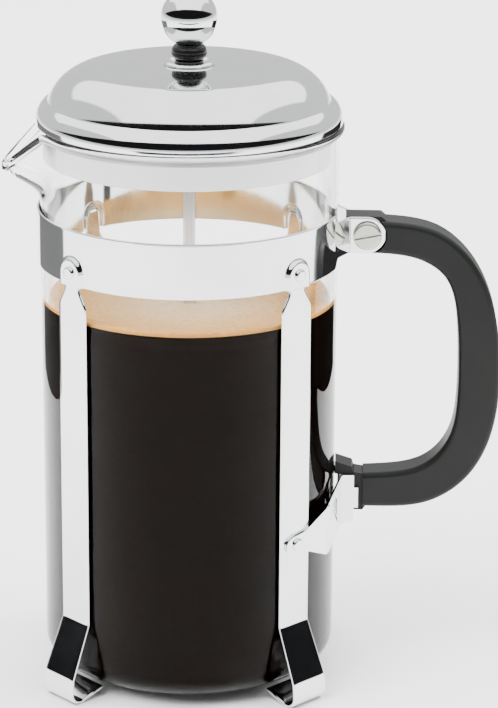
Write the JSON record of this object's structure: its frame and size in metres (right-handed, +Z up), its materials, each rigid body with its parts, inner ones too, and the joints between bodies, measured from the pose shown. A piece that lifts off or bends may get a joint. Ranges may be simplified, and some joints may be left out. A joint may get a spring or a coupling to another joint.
{
  "type": "french press",
  "caption": "Glass coffee press in a chromed strap frame with a black side handle, domed lid and ball-topped plunger.",
  "frame": {"origin": "the beaker's axis at the level of the surface it stands on", "axes": "+Z up along the beaker axis, +X to the handle, -X to the spout"},
  "size_m": [0.1621, 0.0998, 0.2274],
  "materials": {
    "glass": "clear",
    "chrome": "polished",
    "satin_steel": "satin",
    "mesh_steel": "woven",
    "nickel": "plated",
    "grip": "satin moulded",
    "black_plastic": "moulded"
  },
  "bodies": {
    "frame": {"band": "chrome", "leg_front_left": "chrome", "leg_front_right": "chrome", "leg_back_left": "chrome", "leg_back_right": "chrome", "leg_rivets": "chrome", "lower_bracket": "chrome", "bracket_rivets": "chrome", "handle": "grip", "handle_screw": "nickel", "handle_nut": "nickel"},
    "beaker": {"beaker": "glass"},
    "lid": {"lid_dome": "chrome", "lid_skirt": "satin_steel", "lid_washer": "chrome", "guide_bush": "black_plastic"},
    "plunger": {"ball_knob": "chrome", "knob_ferrule": "black_plastic", "plunger_rod": "satin_steel", "rod_collar": "satin_steel", "spiral_plate": "satin_steel", "edge_spring": "satin_steel", "filter_mesh": "mesh_steel", "cross_plate": "satin_steel", "hub_nut": "satin_steel"}
  },
  "joints": [
    {"name": "beaker_lift", "type": "slide", "parent": "frame", "child": "beaker", "axis": [0, 0, 1], "range_m": [0, 0.17]},
    {"name": "lid_lift", "type": "slide", "parent": "beaker", "child": "lid", "axis": [0, 0, 1], "range_m": [0, 0.16]},
    {"name": "plunger_slide", "type": "slide", "parent": "lid", "child": "plunger", "axis": [0, 0, 1], "range_m": [0, 0.12]}
  ]
}
